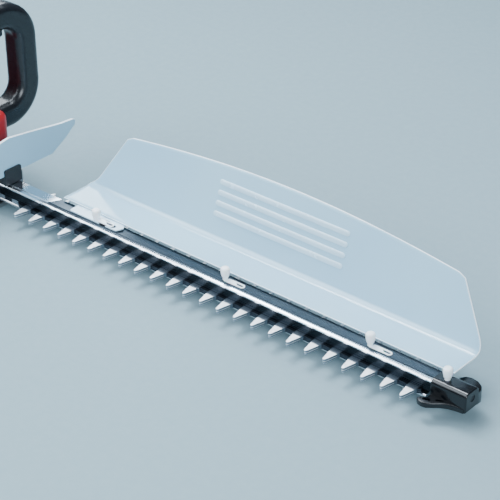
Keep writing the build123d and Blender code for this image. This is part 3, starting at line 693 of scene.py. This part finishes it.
@dataclass
class Collector:
    """Thin curved clippings sheet with its rim, stiffening bars, pad and pegs."""

    bend_mm: float = 8.0
    sheet_mm: float = 1.3
    lean: float = 19.0
    foot_y: Tuple[float, float] = (7.6, 43.0)
    left: float = 128.0
    right: float = 583.0
    # How far each end is cut back, as pairs of height above the foot and setback.
    left_cut: Tuple[Tuple[float, float], ...] = ((0, 0), (2, 1), (5, 5), (10, 10.5), (60, 40), (80, 52))
    right_cut: Tuple[Tuple[float, float], ...] = ((0, 0), (4, -0.4), (8, 0), (13, 2), (60, 33), (80, 46))
    heights: Tuple[float, float] = (60.0, 73.0)
    columns: int = 72
    foot_steps: int = 5
    bend_steps: int = 8
    rise_steps: int = 16
    corner: float = 0.012
    corner_drop: float = 2.5
    rim_mm: float = 0.6
    rim_angle: float = 50.0
    crisp_angle: float = 45.0
    front_strip: float = 0.8
    front_facing: float = -0.5
    pad_edge: float = 0.35
    peg_edge: float = 0.3
    bars: int = 4
    bar_first: float = 24.5
    bar_step: float = 10.0
    bar_size: Tuple[float, float, float] = (150.0, 5.0, 0.8)

    def _profile(self) -> List[Tuple[float, float]]:
        """List the section of the foot and the bend.

        Returns:
            Y and height of each point, in millimetres.
        """
        lean = math.radians(self.lean)
        turn = math.pi / 2 - lean
        reach = self.bend_mm * math.tan(turn / 2)
        y0, y1 = self.foot_y
        steps = self.foot_steps
        rows = [(y0 + k / steps * (y1 - reach - y0), 0.0) for k in range(steps + 1)]
        for k in range(1, self.bend_steps + 1):
            a = turn * k / self.bend_steps
            rows.append((y1 - reach + self.bend_mm * math.sin(a), self.bend_mm * (1 - math.cos(a))))
        return rows

    def _height(self, u: float) -> float:
        """Find the upright's height along its length, with rounded corners.

        Args:
            u: Place along the length, from zero to one.

        Returns:
            The height up the leaning face, in millimetres.
        """
        low, high = self.heights
        t = 2 * u - 1
        body = low + (high - low) * (1 - t * t)
        near = min(u, 1 - u)
        if near < self.corner:
            drop = 1 - near / self.corner
            body -= self.corner_drop * (1 - math.sqrt(max(0.0, 1 - drop * drop)))
        return body

    @staticmethod
    def _cut_back(height: float, cut: Tuple[Tuple[float, float], ...]) -> float:
        """Find how far an end is cut back.

        Args:
            height: Height above the foot.
            cut: Pairs of height and setback, with rising heights.

        Returns:
            The setback.
        """
        for (z0, a), (z1, b) in zip(cut, cut[1:]):
            if height <= z1:
                return a + (b - a) * (height - z0) / (z1 - z0)
        return cut[-1][1]

    def _sheet(self, base_z: float) -> bpy.types.Object:
        """Build the curved sheet with its rim painted white as a painted highlight.

        Args:
            base_z: Height of the sheet's underside in millimetres.

        Returns:
            The sheet.
        """
        shape = bmesh.new()
        lean = math.radians(self.lean)
        rows = self._profile()
        bend_y, bend_z = rows[-1]
        grid = []
        for i in range(self.columns + 1):
            u = i / self.columns
            column = []
            spread = self._height(u) - bend_z
            rise = [(bend_y + spread * k / self.rise_steps * math.sin(lean),
                     bend_z + spread * k / self.rise_steps * math.cos(lean))
                    for k in range(1, self.rise_steps + 1)]
            for y, z in rows + rise:
                x0 = self.left + self._cut_back(z, self.left_cut)
                x1 = self.right - self._cut_back(z, self.right_cut)
                column.append(shape.verts.new(Vector((x0 + (x1 - x0) * u, y, base_z + z)) * MM))
            grid.append(column)
        for a, b in zip(grid, grid[1:]):
            for k in range(len(a) - 1):
                shape.faces.new((a[k], b[k], b[k + 1], a[k + 1]))
        mesh = bpy.data.meshes.new("collector_sheet")
        shape.to_mesh(mesh)
        shape.free()
        piece = new_object("collector_sheet", mesh)
        dress(piece, CLEAR_SHEET, LIT_CUT_EDGE)
        wall = piece.modifiers.new("wall", "SOLIDIFY")
        wall.thickness = self.sheet_mm * MM
        wall.offset = 1.0
        wall.material_offset_rim = 1
        rim = piece.modifiers.new("rim", "BEVEL")
        rim.width = self.rim_mm * MM
        rim.segments = 2
        rim.limit_method = "ANGLE"
        rim.angle_limit = math.radians(self.rim_angle)
        rim.material = 1
        bake_modifiers(piece)
        smooth(piece, self.crisp_angle)
        return piece

    def build(self) -> List[str]:
        """Build and dress the pieces.

        Returns:
            The names of the pieces.
        """
        base_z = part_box("clippings_collector")[0][2] / MM
        sheet = self._sheet(base_z)
        front = (self.foot_y[0] + self.front_strip) * MM
        # The foot's front edge keeps the sheet finish, without the painted highlight of the rim.
        paint_faces(sheet, 0, lambda c, n: n.y < self.front_facing and c.y < front)
        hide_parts("clippings_collector")
        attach(sheet, "collector")
        made = [sheet.name]
        lean = math.radians(self.lean)
        up = Vector((0, math.sin(lean), math.cos(lean)))
        middle = (self.left + self.left_cut[-2][1] + self.right - self.right_cut[-2][1]) / 2
        face = Vector((0, -math.cos(lean), math.sin(lean)))
        for k in range(self.bars):
            height = self.bar_first + self.bar_step * k
            spot = (Vector((middle, self.foot_y[1], base_z)) + up * height + face * self.sheet_mm) * MM
            length, width, rise = (size * MM for size in self.bar_size)
            bar = strip(f"stiffening_bar_{k + 1}", tuple(spot), Vector((1, 0, 0)), up, length, width, rise)
            dress(bar, RAISED_BAR)
            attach(bar, "collector")
            made.append(bar.name)
        pad = soft_copy("collector_pad", "foot_pad", self.pad_edge)
        dress(pad, RAISED_BAR)
        pegs = soft_copy("collector_pegs", "locking_pegs", self.peg_edge)
        dress(pegs, WHITE_PEG)
        return made + [pad.name, pegs.name]


@dataclass
class Guard:
    """Translucent hand guard, its holder and screws."""

    edge: float = 0.8
    face_facing: float = 0.9

    def build(self) -> List[str]:
        """Build and dress the pieces.

        Returns:
            The names of the pieces.
        """
        sheet = soft_copy("hand_guard", "guard_sheet", self.edge, 3)
        dress(sheet, CLEAR_SHEET, LIT_CUT_EDGE)
        # The guard's edges take the painted highlight of the cut edge.
        paint_faces(sheet, 1, lambda c, n: abs(n.x) < self.face_facing)
        holder = soft_copy("guard_holder", "guard_block", self.edge, 3)
        dress(holder, MATT_BLACK)
        dress_nodes(ZINC, "guard_screws")
        return [sheet.name, holder.name]


@dataclass
class Drive:
    """Gearbox casting, gears, eccentrics and bearings."""

    edge: float = 0.6

    def build(self) -> List[str]:
        """Build and dress the pieces.

        Returns:
            The names of the pieces.
        """
        made = []
        for node, name in (("gearbox_housing", "gearbox_casting"), ("gearbox_bottom_cover", "cover_casting")):
            piece = soft_copy(node, name, self.edge)
            dress(piece, CAST_ALLOY)
            made.append(piece.name)
        dress_nodes(TURNED_STEEL, "drive_gear", "upper_eccentric", "lower_eccentric", "gear_shaft",
                    "motor_pinion")
        dress_nodes(RACE_STEEL, "gear_upper_bearing", "motor_upper_bearing", "motor_lower_bearing")
        dress_nodes(BRONZE, "gear_lower_bush")
        dress_nodes(FELT, "felt_seal")
        dress_nodes(ZINC, "gearbox_cover_screws")
        return made


@dataclass
class Motor:
    """Universal motor inside the pod."""

    def build(self) -> List[str]:
        """Dress the motor's CAD nodes.

        Returns:
            The names of the nodes.
        """
        plan = {TURNED_STEEL: ("motor_shaft",), LAMINATIONS: ("armature_core", "stator_core"),
                WOUND_COPPER: ("armature_windings", "field_coils"), BRIGHT_COPPER: ("commutator",),
                BLACK_NYLON: ("cooling_fan", "motor_end_bracket"), PHENOLIC: ("brush_holders",),
                CARBON: ("carbon_brushes",), FILM_CASE: ("suppression_capacitor",)}
        for finish, nodes in plan.items():
            dress_nodes(finish, *nodes)
        return [name for nodes in plan.values() for name in nodes]


@dataclass
class Housing:
    """Clamshell halves with the rear handle, its grip and its controls."""

    split_edge: float = 0.5
    pad_edge: float = 0.4
    control_edge: float = 0.8
    spring_foot_z: float = 133.0
    lock_off_travel: float = 3.0

    def build(self) -> List[str]:
        """Build and dress the pieces.

        Returns:
            The names of the pieces.
        """
        made = []
        for node in ("housing_left", "housing_right"):
            piece = soft_copy(node, node + "_shell", self.split_edge)
            dress(piece, RED_SHELL)
            made.append(piece.name)
        pad = soft_copy("rear_grip_pad", "rear_grip_skin", self.pad_edge)
        dress(pad, GRIP_RUBBER)
        for node, name in (("rear_trigger", "trigger_lever"), ("lock_off_button", "lock_off_cap"),
                           ("cord_inlet", "cord_gland")):
            piece = soft_copy(node, name, self.control_edge, 3)
            dress(piece, HANDLE_BLACK)
            made.append(piece.name)
        dress_nodes(ZINC, "housing_screws", "trigger_pin")
        dress_nodes(SPRING_WIRE, "trigger_spring")
        spring = spring_copy("lock_off_spring", "lock_off_coil")
        dress_nodes(BLACK_NYLON, "main_switch")
        return made + [pad.name, spring.name]


@dataclass
class FrontHandle:
    """Front bail handle with the switch bar."""

    split_edge: float = 0.5
    bar_edge: float = 0.6
    spring_head_z: float = 190.5
    bar_travel: float = 4.0

    def build(self) -> List[str]:
        """Build and dress the pieces.

        Returns:
            The names of the pieces.
        """
        made = []
        for node, name, width in (("front_handle_front", "bail_shell_front", self.split_edge),
                                  ("front_handle_rear", "bail_shell_rear", self.split_edge),
                                  ("front_switch_bar", "switch_bar", self.bar_edge)):
            piece = soft_copy(node, name, width)
            dress(piece, HANDLE_BLACK)
            made.append(piece.name)
        dress_nodes(ZINC, "front_handle_screws")
        springs = spring_copy("front_switch_springs", "bar_coils")
        dress_nodes(BLACK_NYLON, "front_switch")
        return made + [springs.name]


@dataclass
class Studio:
    """Pale floor, soft lights and the camera."""

    # The lens and its sensor are in millimetres, and a light is its name, place, aim, watts and size.
    azimuth: float = -48.9
    elevation: float = 30.70
    roll: float = -0.395
    distance: float = 1.6769
    aim: Point = (0.2764, 0.1086, -0.0135)
    lens: float = 125.7
    sensor: float = 36.0
    clip: Tuple[float, float] = (0.05, 60.0)
    floor_reach: float = 9.0
    light_colour: str = "#E4EFF8"
    world: str = "#B4C6D6"
    world_strength: float = 0.42
    lights: Tuple[Tuple[str, Point, Point, float, Tuple[float, float]], ...] = field(
        default_factory=lambda: (
            ("lip_light", (-0.70, -0.95, 1.25), (0.30, 0.0, 0.03), 60.0, (1.2, 1.6)),
            ("fold_light", (-0.22, 0.30, 1.40), (0.50, 0.03, 0.03), 28.0, (0.4, 0.9)),
            ("front_light", (1.6, -1.1, 0.8), (0.30, 0.0, 0.06), 42.0, (1.0, 0.9)),
            ("tooth_light", (0.10, 0.35, 1.50), (0.33, 0.0, 0.02), 24.0, (1.3, 0.5)),
            ("rail_end_light", (-1.05, 0.92, 0.80), (0.08, 0.0, 0.03), 8.0, (0.5, 0.5))))

    def _floor(self) -> None:
        """Lay the floor under the resting plane."""
        shape = bmesh.new()
        bmesh.ops.create_grid(shape, x_segments=1, y_segments=1, size=self.floor_reach)
        mesh = bpy.data.meshes.new("studio_floor")
        shape.to_mesh(mesh)
        shape.free()
        floor = new_object("studio_floor", mesh)
        dress(floor, FLOOR_PAINT)

    def _lights(self) -> None:
        """Hang the soft area lights and set the sky."""
        for name, spot, aim, power, size in self.lights:
            lamp = bpy.data.lights.new(name, "AREA")
            lamp.energy = power
            lamp.color = linear(self.light_colour)[:3]
            lamp.shape = "RECTANGLE"
            lamp.size, lamp.size_y = size
            holder = bpy.data.objects.new(name, lamp)
            holder.location = spot
            holder.rotation_euler = (Vector(aim) - Vector(spot)).to_track_quat("-Z", "Y").to_euler()
            bpy.context.scene.collection.objects.link(holder)
        world = bpy.data.worlds.new("studio_sky")
        world.use_nodes = True
        back = world.node_tree.nodes["Background"]
        back.inputs["Color"].default_value = linear(self.world)
        back.inputs["Strength"].default_value = self.world_strength
        bpy.context.scene.world = world

    def _camera(self) -> None:
        """Stand the camera at its angle and distance from the aim point."""
        az, el, roll = (math.radians(a) for a in (self.azimuth, self.elevation, self.roll))
        away = Vector((math.cos(el) * math.cos(az), math.cos(el) * math.sin(az), math.sin(el)))
        right = Vector((0, 0, 1)).cross(away).normalized()
        up = away.cross(right)
        turned = math.cos(roll) * right + math.sin(roll) * up
        raised = math.cos(roll) * up - math.sin(roll) * right
        lens = bpy.data.cameras.new("view")
        lens.lens = self.lens
        lens.sensor_width = self.sensor
        lens.clip_start, lens.clip_end = self.clip
        camera = bpy.data.objects.new("view", lens)
        turn = Matrix((turned, raised, away)).transposed().to_4x4()
        camera.matrix_world = Matrix.Translation(Vector(self.aim) + away * self.distance) @ turn
        bpy.context.scene.collection.objects.link(camera)
        bpy.context.scene.camera = camera

    def build(self) -> None:
        """Build floor, lights and camera."""
        self._floor()
        self._lights()
        self._camera()


def main() -> None:
    """Build every sub-assembly in order and report its pieces."""
    logging.basicConfig(level=logging.INFO, format="%(message)s")
    Studio().build()
    for maker in (CuttingGear(), Collector(), Guard(), Drive(), Motor(), Housing(), FrontHandle()):
        report(type(maker).__name__, maker.build())


if __name__ == "__main__":
    main()
